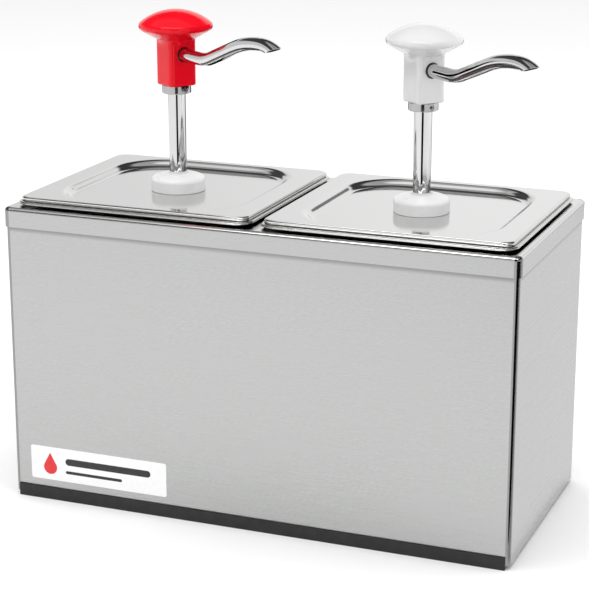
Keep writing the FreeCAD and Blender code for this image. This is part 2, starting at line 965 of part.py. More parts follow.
def spout_bearing(side):
    return {"left": dims.left_spout_bearing, "right": dims.right_spout_bearing}[side]


def make_pump_head(side):
    """The moulded head: a square block below a broad domed knob."""
    body = new_body("pump_head_" + side)
    square = sketch_on(body, "XY_Plane", dims.block_foot)
    draw_outline(square, rounded(dims.block_side, dims.block_side, dims.block_corner))
    pad(body, square, dims.knob_foot - dims.block_foot + dims.block_edge)
    round_edges(body, dims.block_edge, flat_at(dims.block_foot))

    rim = (dims.knob_radius, dims.knob_widest)
    revolve(
        body,
        [
            (ZERO, dims.knob_foot),
            (dims.knob_neck_radius, dims.knob_foot),
            (dims.knob_radius - dims.knob_rim_in, dims.knob_under),
            (dims.knob_radius - dims.knob_brow_in, dims.knob_brow, rim),
            (ZERO, dims.knob_top, ABOUT_AXIS),
        ],
    )

    socket = sketch_on(body, "XY_Plane", dims.block_foot)
    draw_circle(socket, dims.tube_radius)
    pocket(body, socket, dims.tube_top - dims.block_foot, up=True)
    riser = sketch_on(body, "XY_Plane", dims.tube_top)
    draw_circle(riser, dims.tube_radius - dims.tube_wall)
    pocket(body, riser, dims.spout_height - dims.tube_top, up=True)
    outlet = sketch_on(body, "YZ_Plane")
    draw_circle(outlet, dims.spout_radius, ZERO, dims.spout_height)
    pocket(body, outlet, dims.block_side, up=True)
    mouth = sketch_on(body, "YZ_Plane", dims.block_side / 2 - dims.spout_hole_depth)
    draw_circle(mouth, dims.spout_hole_radius, ZERO, dims.spout_height)
    pocket(body, mouth, dims.spout_hole_depth * 2, up=True)
    place(body, side_x(side), turn=spout_bearing(side) - 90)


def make_spout_seal(side):
    """The dark ring that seals the spout's root in the block."""
    body = new_body("spout_seal_" + side)
    back = dims.block_side / 2 - dims.spout_hole_depth
    ring = sketch_on(body, "YZ_Plane", back)
    draw_circle(ring, dims.spout_hole_radius, ZERO, dims.spout_height)
    draw_circle(ring, dims.spout_radius, ZERO, dims.spout_height)
    pad(body, ring, dims.spout_seal_thick)
    place(body, side_x(side), turn=spout_bearing(side) - 90)


def spout_path():
    """The spout's centre line: straight runs and tangent arcs in the XZ plane."""
    runs = [
        (dims.spout_level_end - dims.spout_start, None),
        (dims.spout_lift_radius, dims.spout_climb_slope),
        (dims.spout_climb_length, None),
        (dims.spout_crest_radius, ZERO),
        (dims.spout_nose_radius, -dims.spout_nose_slope),
    ]
    point = FreeCAD.Vector(dims.spout_start.value, 0, dims.spout_height.value)
    slope = 0.0
    edges = []
    for size, end_slope in runs:
        if end_slope is None:
            end = point + heading(slope) * size.value
            edges.append(Part.LineSegment(point, end).toShape())
            point = end
            continue
        target = math.radians(end_slope.value)
        swing = size.value if target > slope else -size.value
        centre = point + heading(slope + math.pi / 2) * swing
        middle = centre - heading((slope + target) / 2 + math.pi / 2) * swing
        end = centre - heading(target + math.pi / 2) * swing
        edges.append(Part.Arc(point, middle, end).toShape())
        point = end
        slope = target
    return Part.Wire(edges)


def heading(slope):
    """The unit vector in the XZ plane that climbs at a slope in radians."""
    return FreeCAD.Vector(math.cos(slope), 0, math.sin(slope))


def make_spout(side):
    """The bent outlet tube, cut across at its tip."""
    path = spout_path()
    start = FreeCAD.Vector(dims.spout_start.value, 0, dims.spout_height.value)

    def swept(radius):
        section = Part.Wire([Part.Circle(start, heading(0), radius).toShape()])
        return path.makePipeShell([section], True, False)

    outer = swept(dims.spout_radius.value)
    inner = swept(dims.spout_radius.value - dims.spout_wall.value)
    tube = outer.cut(inner)
    room = dims.block_side.value
    waste = Part.makeBox(room * 2, room, room * 2, FreeCAD.Vector(0, -room / 2, -room * 2))
    waste.translate(FreeCAD.Vector(-dims.spout_radius.value, 0, 0))
    waste.rotate(FreeCAD.Vector(), FreeCAD.Vector(0, -1, 0), dims.spout_lip_tilt.value)
    waste.translate(
        FreeCAD.Vector(dims.spout_lip_reach.value, 0, dims.spout_lip_height.value)
    )
    spout = doc.addObject("Part::Feature", "Spout")
    spout.Shape = tube.cut(waste)
    spout.Label = "spout_" + side
    place(spout, side_x(side), turn=spout_bearing(side) - 90)
    nodes.append(spout)


# ---------------------------------------------------------------- the whole


def make_pump(side):
    """Everything that hangs on one lid."""
    make_gasket(side)
    make_cylinder(side)
    make_cap_nut(side)
    make_guide_bush(side)
    make_rod_seal(side)
    make_foot_valve(side)
    inlet_pin = dims.valve_foot + dims.inlet_pin_height
    make_cross_pin(
        "inlet_ball_stop_" + side, side, inlet_pin, dims.bore_radius - dims.pin_radius
    )
    make_ball(
        "inlet_ball_" + side,
        side,
        dims.inlet_ball_radius,
        dims.valve_hole_radius,
        dims.valve_foot + dims.valve_hole_tall,
    )
    make_spring(side)
    make_spring_seat(side)
    make_piston(side)
    make_piston_seal(side)
    outlet_pin = piston_foot + dims.piston_pin_height
    waist = dims.bore_radius - dims.piston_seal_depth
    make_cross_pin(
        "outlet_ball_stop_" + side, side, outlet_pin, waist - dims.pin_radius
    )
    make_ball(
        "outlet_ball_" + side,
        side,
        dims.outlet_ball_radius,
        dims.piston_inlet_radius,
        piston_foot + dims.piston_inlet_tall,
    )
    make_piston_tube(side)
    make_portion_ring(side)
    make_grub_screw(side)
    make_pump_head(side)
    make_spout_seal(side)
    make_spout(side)


def check_all():
    """Stops if any object failed or any sub-part has no sound solid."""
    for item in doc.Objects:
        if "Invalid" in item.State or "Error" in item.State:
            raise RuntimeError("%s (%s) failed: %s" % (item.Label, item.Name, item.State))
    for item in nodes:
        shape = item.Shape
        if shape.isNull() or not shape.isValid() or len(shape.Solids) != 1:
            raise RuntimeError("%s has no single sound solid" % item.Label)


def write_parts():
    os.makedirs("parts", exist_ok=True)
    for item in nodes:
        item.Shape.exportStep("parts/%s.step" % item.Label)


make_case_shell()
make_rim_frame()
make_foot_profile("foot_profile_front", -1)
make_foot_profile("foot_profile_rear", 1)
make_label()
for side in SIDES:
    make_pan(side)
    make_lid(side)
    make_pump(side)
doc.recompute()
check_all()
write_parts()
print("%d parts written" % len(nodes))
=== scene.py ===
import json
import math

import bmesh
import bpy
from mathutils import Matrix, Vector


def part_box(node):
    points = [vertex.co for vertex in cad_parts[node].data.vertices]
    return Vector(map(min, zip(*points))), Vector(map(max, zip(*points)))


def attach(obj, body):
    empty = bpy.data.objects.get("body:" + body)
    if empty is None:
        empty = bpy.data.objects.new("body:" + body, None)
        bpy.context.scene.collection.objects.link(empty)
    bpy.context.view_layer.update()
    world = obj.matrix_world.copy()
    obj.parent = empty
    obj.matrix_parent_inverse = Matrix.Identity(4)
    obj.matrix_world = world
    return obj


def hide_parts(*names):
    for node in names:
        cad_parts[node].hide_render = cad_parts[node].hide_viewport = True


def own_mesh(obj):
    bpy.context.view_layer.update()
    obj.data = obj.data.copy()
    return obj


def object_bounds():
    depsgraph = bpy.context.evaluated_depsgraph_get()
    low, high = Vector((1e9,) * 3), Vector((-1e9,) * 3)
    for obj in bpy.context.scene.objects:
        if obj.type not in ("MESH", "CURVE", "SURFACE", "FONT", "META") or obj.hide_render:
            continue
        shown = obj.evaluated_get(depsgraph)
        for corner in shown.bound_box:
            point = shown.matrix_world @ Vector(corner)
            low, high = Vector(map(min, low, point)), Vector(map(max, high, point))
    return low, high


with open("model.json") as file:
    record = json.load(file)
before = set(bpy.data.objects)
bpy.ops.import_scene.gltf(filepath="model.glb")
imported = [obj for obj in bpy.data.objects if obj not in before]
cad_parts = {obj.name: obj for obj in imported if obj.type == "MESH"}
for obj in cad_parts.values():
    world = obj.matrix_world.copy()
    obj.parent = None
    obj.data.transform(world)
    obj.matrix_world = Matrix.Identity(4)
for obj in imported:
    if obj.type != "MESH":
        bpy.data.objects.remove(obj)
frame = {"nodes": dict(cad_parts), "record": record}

# Twin condiment pump dispenser.  The points of a mesh and the camera's place are written in
# millimetres; the places of lamps and cards, and lengths within a material, are in metres.  The
# frame is the CAD model's: its origin is under the middle of the front edge, +X right, +Y back,
# +Z up.

cad_low, cad_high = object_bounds()
nodes = frame["nodes"]
MM = 0.001
SIDES = ("left", "right")
UP = Vector((0.0, 0.0, 1.0))

# The way each spout points, in degrees from the front towards +X.
SPOUT_BEARINGS = {"left": 55.7, "right": 49.3}


def box_mm(node):
    """A CAD node's lowest and highest corners, in millimetres."""
    low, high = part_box(node)
    return low / MM, high / MM


# ---------------------------------------------------------------- camera, floor and light

CAMERA_PLACE = (464.5, -1092.4, 508.5)
CAMERA_YAW = 21.62
CAMERA_PITCH = 16.25
CAMERA_LENS = 113.2


def make_camera():
    data = bpy.data.cameras.new("camera")
    data.sensor_width = 36.0
    data.lens = CAMERA_LENS
    data.clip_start = 0.05
    data.clip_end = 60.0
    camera = bpy.data.objects.new("camera", data)
    camera.location = [value * MM for value in CAMERA_PLACE]
    camera.rotation_euler = (
        math.radians(90.0 - CAMERA_PITCH), 0.0, math.radians(CAMERA_YAW)
    )
    bpy.context.scene.collection.objects.link(camera)
    bpy.context.scene.camera = camera


def facing(place, target):
    """The rotation that points an object's -Z from one place to another."""
    return (Vector(target) - Vector(place)).to_track_quat("-Z", "Y").to_euler()


def make_softbox(name, place, target, size, power):
    """A soft lamp that reflections don't see.  Place, target and size are in metres."""
    data = bpy.data.lights.new(name, "AREA")
    data.shape = "RECTANGLE"
    data.size, data.size_y = size
    data.energy = power
    lamp = bpy.data.objects.new(name, data)
    lamp.location = place
    lamp.rotation_euler = facing(place, target)
    lamp.visible_glossy = False
    bpy.context.scene.collection.objects.link(lamp)


class Nodes:
    """A small helper to write a node tree as code."""

    def __init__(self, tree):
        self.tree = tree

    def add(self, kind, inputs=None, **settings):
        node = self.tree.nodes.new(kind)
        for name, value in settings.items():
            setattr(node, name, value)
        for socket, value in (inputs or {}).items():
            self.put(node.inputs[socket], value)
        return node

    def put(self, socket, value):
        if isinstance(value, bpy.types.NodeSocket):
            self.tree.links.new(value, socket)
        elif isinstance(value, bpy.types.Node):
            self.tree.links.new(value.outputs[0], socket)
        else:
            socket.default_value = value

    def math(self, operation, first, second=None, clamp=False):
        inputs = {0: first}
        if second is not None:
            inputs[1] = second
        return self.add("ShaderNodeMath", inputs, operation=operation, use_clamp=clamp)

    def spread(self, value, low, high, to_low=0.0, to_high=1.0):
        """A clamped smooth change from one range to another."""
        inputs = {
            "Value": value, "From Min": low, "From Max": high,
            "To Min": to_low, "To Max": to_high,
        }
        return self.add("ShaderNodeMapRange", inputs, interpolation_type="SMOOTHSTEP")

    def between(self, value, low, high, blend):
        """One between two limits, with a smooth change outside each of them."""
        rise = self.spread(value, low - blend, low)
        return self.math("SUBTRACT", rise, self.spread(value, high, high + blend))

    def ramp(self, value, stops):
        """A level that changes smoothly through a list of (position, level)."""
        node = self.add("ShaderNodeValToRGB", {"Fac": value})
        keys = node.color_ramp.elements
        node.color_ramp.interpolation = "EASE"
        for index, (position, level) in enumerate(stops):
            key = keys[index] if index < 2 else keys.new(position)
            key.position = position
            key.color = (level, level, level, 1.0)
        return node.outputs[0]


# The surroundings' brightness, as (position, level).  In the middle, the position is the way round
# from the horizon in front (0) over the top (0.5) to the horizon behind (1).  At the sides, it is the
# height of the ray.  The sides take over between two distances of the ray from the middle.
MIDDLE_LEVELS = (
    (0.0, 1.0), (0.08, 1.0), (0.13, 0.3), (0.22, 0.25), (0.25, 1.3), (0.262, 7.0),
    (0.325, 7.0), (0.34, 1.25), (0.42, 1.2), (0.46, 0.5), (0.60, 0.5), (0.68, 0.06),
    (0.80, 0.05), (0.845, 1.16), (1.0, 1.16),
)
SIDE_LEVELS = ((0.0, 1.0), (0.27, 1.0), (0.37, 0.08), (0.68, 0.08), (0.8, 0.9), (1.0, 0.5))
SIDES_FROM, SIDES_FULL = 0.45, 0.7
WHITE_LEVEL = 1.1
GAP_LEVEL = 0.2
DIM_SHARE = 0.8


def make_world():
    """A plain white studio, but reflections see bright windows with dark gaps between them."""
    world = bpy.data.worlds.new("studio")
    bpy.context.scene.world = world
    world.use_nodes = True
    world.cycles.sampling_method = "NONE"
    world.node_tree.nodes.clear()
    tree = Nodes(world.node_tree)
    ray = tree.add("ShaderNodeTexCoord").outputs["Generated"]
    parts = tree.add("ShaderNodeSeparateXYZ", {"Vector": ray})
    across, back, up = (parts.outputs[axis] for axis in "XYZ")
    turn = tree.math("ARCTAN2", up, tree.math("MULTIPLY", back, -1.0))
    turn = tree.math("DIVIDE", turn, math.pi, clamp=True)
    # The middle grows a little brighter from left to right.
    middle = tree.ramp(turn, MIDDLE_LEVELS)
    middle = tree.math("MULTIPLY", middle, tree.spread(across, -0.47, -0.25, 0.90, 1.08))
    # It has a small dark gap low behind, on the right.
    gap = tree.math(
        "MULTIPLY",
        tree.between(across, 0.21, 0.32, 0.04),
        tree.between(turn, 0.865, 0.9, 0.012),
    )
    middle = tree.math("MULTIPLY", middle, tree.spread(gap, 0.0, 1.0, 1.0, GAP_LEVEL))
    # The window in front is dimmer towards the left.
    dim = tree.math(
        "MULTIPLY",
        tree.spread(turn, 0.36, 0.42, 1.0, 0.0),
        tree.spread(across, -0.42, -0.33, DIM_SHARE, 0.0),
    )
    middle = tree.math("MULTIPLY", middle, tree.math("SUBTRACT", 1.0, dim))
    beside = tree.ramp(up, SIDE_LEVELS)
    aside = tree.spread(tree.math("ABSOLUTE", across), SIDES_FROM, SIDES_FULL)
    dome = tree.add("ShaderNodeMix", data_type="FLOAT")
    tree.put(dome.inputs["Factor"], aside)
    tree.put(dome.inputs[2], middle)
    tree.put(dome.inputs[3], beside)
    path = tree.add("ShaderNodeLightPath")
    glow = tree.add("ShaderNodeBackground", {"Strength": dome.outputs[0]})
    white = tree.add("ShaderNodeBackground", {"Strength": WHITE_LEVEL})
    mixed = tree.add(
        "ShaderNodeMixShader", {"Fac": path.outputs["Is Glossy Ray"], 1: white, 2: glow}
    )
    tree.add("ShaderNodeOutputWorld", {"Surface": mixed})


FLOOR_SIDE = 24000.0
CARD_LIFT = 0.001
FRONT_CARD_BEARING = 20.0
FRONT_CARD_AWAY = 0.9
FRONT_CARD_RISE = 0.4
FAN_REACH = 950.0
FAN_START = 22.0
FAN_STEP = 5.5
FAN_STEPS = 16


def make_stage():
    """A wide pale floor, and cards that only reflections see."""
    floor = grid_object("floor", FLOOR_SIDE, FLOOR_SIDE, 4)
    floor.data.materials.append(floor_paint())
    black = card_black()

    # Upright in front, where the gap between two softboxes would be.
    angle = math.radians(FRONT_CARD_BEARING)
    front = grid_object("card_front", 430.0, 900.0, 2)
    front.rotation_euler = (math.radians(90.0), 0.0, angle)
    front.location = (
        math.sin(angle) * FRONT_CARD_AWAY, -math.cos(angle) * FRONT_CARD_AWAY, FRONT_CARD_RISE
    )

    # Flat on the floor behind on the left, which draws the dark edges of the tubes.
    behind = grid_object("card_behind", 4000.0, 2600.0, 2)
    behind.location = (-1.55, 2.35, CARD_LIFT)

    # A fan flat on the floor off the front right corner, which draws the dark line of its bend.
    fan = [(0.0, 0.0, 0.0)]
    faces = []
    for step in range(FAN_STEPS + 1):
        angle = math.radians(FAN_START + FAN_STEP * step)
        fan.append((math.sin(angle) * FAN_REACH, -math.cos(angle) * FAN_REACH, 0.0))
        if step:
            faces.append((0, step, step + 1))
    corner = mesh_piece("card_corner", fan, faces, smooth=False)
    corner.location = (cad_high.x, cad_low.y, CARD_LIFT)

    # Upright between the heads, which keeps the red one out of the other one's spout.
    between = grid_object("card_between", 62.0, 50.0, 2)
    between.rotation_euler = (0.0, math.radians(90.0), 0.0)
    between.location = (-0.056, 0.087, 0.309)

    # A white one on the floor beside the right wall, to light the wall as evenly as the front.
    beside = grid_object("card_beside", 1000.0, 1060.0, 2)
    beside.location = (cad_high.x + 0.5, 0.5, CARD_LIFT)
    beside.data.materials.append(card_white())

    for card in (front, behind, corner, between, beside):
        if not card.data.materials:
            card.data.materials.append(black)
        card.visible_camera = False
        card.visible_diffuse = False
        card.visible_shadow = False
        card.visible_transmission = False


def grid_object(name, width, depth, cells):
    """A flat rectangle round the origin, divided into cells each way."""
    mesh = bpy.data.meshes.new(name)
    shape = bmesh.new()
    bmesh.ops.create_grid(shape, x_segments=cells, y_segments=cells, size=0.5)
    for vertex in shape.verts:
        vertex.co.x *= width * MM
        vertex.co.y *= depth * MM
    shape.to_mesh(mesh)
    shape.free()
    item = bpy.data.objects.new(name, mesh)
    bpy.context.scene.collection.objects.link(item)
    return item


# ---------------------------------------------------------------- materials


def new_material(name):
    """A new material, the helper for its tree, and its shader."""
    material = bpy.data.materials.new(name)
    material.use_nodes = True
    tree = Nodes(material.node_tree)
    shader = material.node_tree.nodes["Principled BSDF"]
    return material, tree, shader


def coordinates(tree, scale):
    """The piece's own coordinates in metres, stretched by a factor for each axis."""
    place = tree.add("ShaderNodeTexCoord").outputs["Object"]
    return tree.add("ShaderNodeMapping", {"Vector": place, "Scale": scale})


def noise(tree, scale, detail=3.0, rough=0.5):
    """Noise whose scale is given for each axis, in features to the metre."""
    return tree.add(
        "ShaderNodeTexNoise",
        {"Vector": coordinates(tree, scale), "Scale": 1.0, "Detail": detail, "Roughness": rough},
    ).outputs["Fac"]


def tint(tree, value, dark, light):
    """Two colours mixed by a value."""
    mix = tree.add("ShaderNodeMix", data_type="RGBA")
    tree.put(mix.inputs["Factor"], value)
    tree.put(mix.inputs[6], (*dark, 1.0))
    tree.put(mix.inputs[7], (*light, 1.0))
    return mix.outputs[2]


def bump(tree, shader, height, distance, strength, before=None):
    """Adds a bump to a shader, on top of the one before it."""
    node = tree.add(
        "ShaderNodeBump", {"Height": height, "Distance": distance, "Strength": strength}
    )
    if before is not None:
        tree.put(node.inputs["Normal"], before.outputs[0])
    tree.put(shader.inputs["Normal"], node.outputs[0])
    return node


def floor_paint():
    material, tree, shader = new_material("floor_paint")
    patchy = noise(tree, (1.5, 1.5, 1.5), 2.0)
    colour = tint(
        tree, tree.spread(patchy, 0.3, 0.7), (0.975, 0.975, 0.975), (0.985, 0.985, 0.985)
    )
    tree.put(shader.inputs["Base Color"], colour)
    shader.inputs["Roughness"].default_value = 0.9
    shader.inputs["Specular IOR Level"].default_value = 0.1
    return material


def card_black():
    material, _, shader = new_material("card_black")
    shader.inputs["Base Color"].default_value = (0.004, 0.004, 0.004, 1.0)
    shader.inputs["Roughness"].default_value = 1.0
    shader.inputs["Specular IOR Level"].default_value = 0.0
    return material


def card_white():
    """A plain glow, so that the card looks the same from every side."""
    material, _, shader = new_material("card_white")
    shader.inputs["Base Color"].default_value = (0.0, 0.0, 0.0, 1.0)
    shader.inputs["Specular IOR Level"].default_value = 0.0
    shader.inputs["Emission Color"].default_value = (1.0, 1.0, 1.0, 1.0)
    shader.inputs["Emission Strength"].default_value = 1.05
    return material


# Painted shade under the rim's hem: how far below the hem it fades out, how close below it it is
# full, and the share of the steel's tone that it darkens to.
HEM_SHADE_REACH = 0.0042
HEM_SHADE_FULL = 0.0006
HEM_PAINTED_SHADE = 0.62
# The painted dark reflection on the upright folds, as a share of the steel's tone; then the lower
# roughness of the folds and of the faces that look up.
FOLD_PAINTED_DARK = 0.6
FOLD_GLOSS = 0.3
TOP_GLOSS = 0.45


def brushed_steel(
    name, shade, rough, along, lines, shade_under_hem=None, folds=None, painted_top_sheen=1.0, relief=0.06
):
    """Sheet steel with fine lines along the given axes.

    Below the height of a hem, if one is given, the steel is darker: painted shade under the hem.
    folds is a box (low, high) and a width: the upright folds at the box's corners are smoother, and
    darker with a painted dark reflection.  A top factor above 1 makes faces that look up that much
    lighter, a painted sheen, and smoother.
    """
    material, tree, shader = new_material(name)
    shader.inputs["Metallic"].default_value = 1.0
    shader.inputs["Anisotropic"].default_value = 0.3
    stretch = [lines] * 3
    for axis in along:
        stretch["xyz".index(axis)] = 8.0
    streaks = noise(tree, stretch, 3.0)
    smears = noise(tree, (9.0, 9.0, 9.0), 2.0)
    both = tree.math("ADD", tree.math("MULTIPLY", streaks, 0.8), tree.math("MULTIPLY", smears, 0.2))
    colour = tint(tree, tree.spread(both, 0.3, 0.7), shade, times(shade, 1.012))
    ground = tree.spread(both, 0.3, 0.7, rough * 0.95, rough * 1.05)
    # Faces that look up are painted lighter, a painted sheen; their lower roughness is real.
    if painted_top_sheen > 1.0:
        upward = tree.spread(facing_up(tree), 0.1, 0.5)
        colour = turn_into(tree, colour, upward, times(shade, painted_top_sheen))
        ground = tree.math("MULTIPLY", ground, tree.spread(upward, 0.0, 1.0, 1.0, TOP_GLOSS))
    # Painted shade: the steel turns darker just below the hem.
    if shade_under_hem is not None:
        place = tree.add("ShaderNodeTexCoord").outputs["Object"]
        height = tree.add("ShaderNodeSeparateXYZ", {"Vector": place}).outputs["Z"]
        hem_shade = tree.spread(height, shade_under_hem - HEM_SHADE_REACH, shade_under_hem - HEM_SHADE_FULL)
        colour = turn_into(tree, colour, hem_shade, times(shade, HEM_PAINTED_SHADE))
    # Painted dark reflection on the upright folds; their lower roughness is real.
    if folds is not None:
        fold = folded(tree, *folds)
        colour = turn_into(tree, colour, fold, times(shade, FOLD_PAINTED_DARK))
        ground = tree.math("MULTIPLY", ground, tree.spread(fold, 0.0, 1.0, 1.0, FOLD_GLOSS))
    tree.put(shader.inputs["Base Color"], colour)
    tree.put(shader.inputs["Roughness"], ground)
    bump(tree, shader, streaks, 0.00001, relief)
    return material


def times(shade, factor):
    """A shade made lighter or darker, never above white."""
    return tuple(min(1.0, value * factor) for value in shade)


def facing_up(tree):
    """The height of a face's normal: 1 where it looks straight up."""
    normal = tree.add("ShaderNodeNewGeometry").outputs["Normal"]
    return tree.add("ShaderNodeSeparateXYZ", {"Vector": normal}).outputs["Z"]


def folded(tree, low, high, width):
    """One on the upright folds at a box's corners, and zero elsewhere."""
    place = tree.add("ShaderNodeTexCoord").outputs["Object"]
    parts = tree.add("ShaderNodeSeparateXYZ", {"Vector": place})
    near = []
    for index, axis in enumerate("XY"):
        middle, half = (low[index] + high[index]) / 2, (high[index] - low[index]) / 2
        away = tree.math("ABSOLUTE", tree.math("SUBTRACT", parts.outputs[axis], middle))
        near.append(tree.spread(away, half - width * 1.15, half - width))
    return tree.math("MULTIPLY", *near)


def turn_into(tree, colour, amount, shade):
    """A colour that turns into a plain shade by an amount."""
    mix = tree.add("ShaderNodeMix", data_type="RGBA")
    tree.put(mix.inputs["Factor"], amount)
    tree.put(mix.inputs[6], colour)
    tree.put(mix.inputs[7], (*shade, 1.0))
    return mix.outputs[2]


def polished_steel(name, shade, rough):
    """Drawn or turned steel, buffed: nearly a mirror with faint lines and smears."""
    material, tree, shader = new_material(name)
    shader.inputs["Metallic"].default_value = 1.0
    smear = noise(tree, (120.0, 120.0, 60.0), 4.0)
    colour = tint(tree, tree.spread(smear, 0.3, 0.7), shade, times(shade, 1.04))
    tree.put(shader.inputs["Base Color"], colour)
    tree.put(shader.inputs["Roughness"], tree.spread(smear, 0.3, 0.75, rough * 0.7, rough * 1.4))
    lines = noise(tree, (900.0, 900.0, 3500.0), 2.0)
    bump(tree, shader, lines, 0.000004, 0.3)
    return material


def moulded_plastic(name, dark, light, rough, coat, glow, glow_colour, specular=0.5):
    """Injection-moulded plastic: a faint flow pattern, a fine skin and slight wear.

    glow is the share of light that passes through the skin, which tints it with glow_colour.
    """
    material, tree, shader = new_material(name)
    flow = noise(tree, (40.0, 40.0, 22.0), 4.0)
    colour = tint(tree, tree.spread(flow, 0.3, 0.7), dark, light)
    tree.put(shader.inputs["Base Color"], colour)
    wear = noise(tree, (260.0, 260.0, 260.0), 3.0)
    tree.put(shader.inputs["Roughness"], tree.spread(wear, 0.3, 0.75, rough * 0.8, rough * 1.3))
    shader.inputs["IOR"].default_value = 1.49
    shader.inputs["Coat Weight"].default_value = coat
    shader.inputs["Coat Roughness"].default_value = 0.06
    shader.inputs["Specular IOR Level"].default_value = specular
    shader.inputs["Subsurface Weight"].default_value = glow
    shader.inputs["Subsurface Radius"].default_value = glow_colour
    shader.inputs["Subsurface Scale"].default_value = 0.002
    skin = noise(tree, (1400.0, 1400.0, 1400.0), 2.0)
    fine = bump(tree, shader, skin, 0.000006, 0.25)
    bump(tree, shader, flow, 0.00008, 0.06, before=fine)
    return material


def rubber(name):
    """Black rubber or soft plastic, slightly dusty."""
    material, tree, shader = new_material(name)
    dust = noise(tree, (180.0, 180.0, 180.0), 4.0)
    colour = tint(tree, tree.spread(dust, 0.35, 0.8), (0.004, 0.004, 0.004), (0.014, 0.014, 0.014))
    tree.put(shader.inputs["Base Color"], colour)
    tree.put(shader.inputs["Roughness"], tree.spread(dust, 0.3, 0.7, 0.34, 0.5))
    skin = noise(tree, (30.0, 900.0, 900.0), 3.0)
    bump(tree, shader, skin, 0.00003, 0.3)
    return material


def label_film(name, dark, light, rough):
    """Printed film under a thin clear layer."""
    material, tree, shader = new_material(name)
    fleck = noise(tree, (300.0, 300.0, 300.0), 3.0)
    tree.put(shader.inputs["Base Color"], tint(tree, tree.spread(fleck, 0.3, 0.7), dark, light))
    tree.put(shader.inputs["Roughness"], tree.spread(fleck, 0.3, 0.7, rough * 0.9, rough * 1.1))
    shader.inputs["Coat Weight"].default_value = 0.25
    shader.inputs["Coat Roughness"].default_value = 0.12
    waves = noise(tree, (60.0, 60.0, 90.0), 2.0)
    bump(tree, shader, waves, 0.00004, 0.1)
    return material


def paint(item, material):
    """Gives a piece or a CAD node one material throughout."""
    if not item.data.materials:
        item.data.materials.append(material)
    for index in range(len(item.data.materials)):
        item.data.materials[index] = material


# ---------------------------------------------------------------- mesh building


def mesh_piece(name, points, faces, smooth=True):
    """A mesh object from points in millimetres."""
    mesh = bpy.data.meshes.new(name)
    mesh.from_pydata([tuple(value * MM for value in point) for point in points], [], faces)
    mesh.validate()
    mesh.update()
    for face in mesh.polygons:
        face.use_smooth = smooth
    item = bpy.data.objects.new(name, mesh)
    bpy.context.scene.collection.objects.link(item)
    return item


def rounded_ring(width, depth, corner, per_corner=14, per_side=10):
    """Points round a rectangle with rounded corners, the same number for every ring."""
    points = []
    for step, (across, along) in enumerate(((1, -1), (1, 1), (-1, 1), (-1, -1))):
        middle = Vector((across * (width / 2 - corner), along * (depth / 2 - corner)))
        start = math.radians(-90.0 + 90.0 * step)
        for index in range(per_corner + 1):
            angle = start + math.radians(90.0) * index / per_corner
            points.append(middle + Vector((math.cos(angle), math.sin(angle))) * corner)
    ring = []
    count = len(points)
    for index, point in enumerate(points):
        ring.append(point)
        if index % (per_corner + 1) == per_corner:
            after = points[(index + 1) % count]
            for part in range(1, per_side):
                ring.append(point.lerp(after, part / per_side))
    return ring


BEND_MARGIN = 0.04


def bent_profile(corners, steps=8):
    """Stations of a bent sheet, as (width, depth, corner, height).

    corners lists (width, depth, corner, height, bend radius); every one but the first and the last
    is rounded with its bend radius.
    """
    stations = [corners[0][:4]]
    for before, here, after in zip(corners, corners[1:], corners[2:]):
        radius = here[4]
        here_in = Vector((before[0] / 2 - here[0] / 2, before[3] - here[3]))
        here_out = Vector((after[0] / 2 - here[0] / 2, after[3] - here[3]))
        if radius <= 0.0:
            stations.append(here[:4])
            continue
        turn = math.pi - here_in.angle(here_out)
        reach = radius * math.tan(turn / 2)
        first = mix_stations(here, before, reach / here_in.length)
        last = mix_stations(here, after, reach / here_out.length)
        weight = math.cos(turn / 2)
        stations.append(mix_stations(first, before, BEND_MARGIN))
        for index in range(steps + 1):
            t = index / steps
            a, b, c = (1 - t) ** 2, 2 * t * (1 - t) * weight, t * t
            total = a + b + c
            stations.append(
                tuple((p * a + q * b + r * c) / total for p, q, r in zip(first, here, last))
            )
        stations.append(mix_stations(last, after, BEND_MARGIN))
    stations.append(corners[-1][:4])
    return stations


def mix_stations(one, other, share):
    """A station between two others."""
    return tuple(p + (q - p) * share for p, q in zip(one[:4], other[:4]))


def loft(rings, close_last=False):
    """Points and faces of a skin over rings, which all have the same number of points."""
    points = [point for ring in rings for point in ring]
    count = len(rings[0])
    faces = []
    for level in range(len(rings) - 1):
        for index in range(count):
            after = (index + 1) % count
            low = level * count
            high = low + count
            faces.append((low + index, low + after, high + after, high + index))
    if close_last:
        low = (len(rings) - 1) * count
        faces.append(tuple(low + index for index in range(count)))
    return points, faces


def sheet_rings(stations, centre):
    """A rounded rectangle round a centre for every station."""
    rings = []
    for width, depth, corner, height in stations:
        ring = rounded_ring(width, depth, corner)
        rings.append([(centre[0] + p.x, centre[1] + p.y, height) for p in ring])
    return rings


def circle(centre, radius, height, angles):
    """Points at a height round an upright axis."""
    return [
        (centre[0] + radius * math.cos(angle), centre[1] + radius * math.sin(angle), height)
        for angle in angles
    ]


def thicken(item, thickness, border, field, width):
    """Gives a sheet its thickness, to the inside.

    border and field are each a pair of materials, for the outer and the inner face.  The border is
    the part of the sheet that is closer than width to the edge of its outline.
    """
    for material in (*border, *field):
        item.data.materials.append(material)
    across = [vertex.co.x for vertex in item.data.vertices]
    along = [vertex.co.y for vertex in item.data.vertices]
    for face in item.data.polygons:
        x, y, _ = face.center
        near = min(x - min(across), max(across) - x, y - min(along), max(along) - y)
        face.material_index = 0 if near < width * MM else 2
    solid = item.modifiers.new("sheet", "SOLIDIFY")
    solid.material_offset = 1
    solid.material_offset_rim = 0
    solid.thickness = thickness * MM
    solid.offset = -1.0
    solid.use_even_offset = True


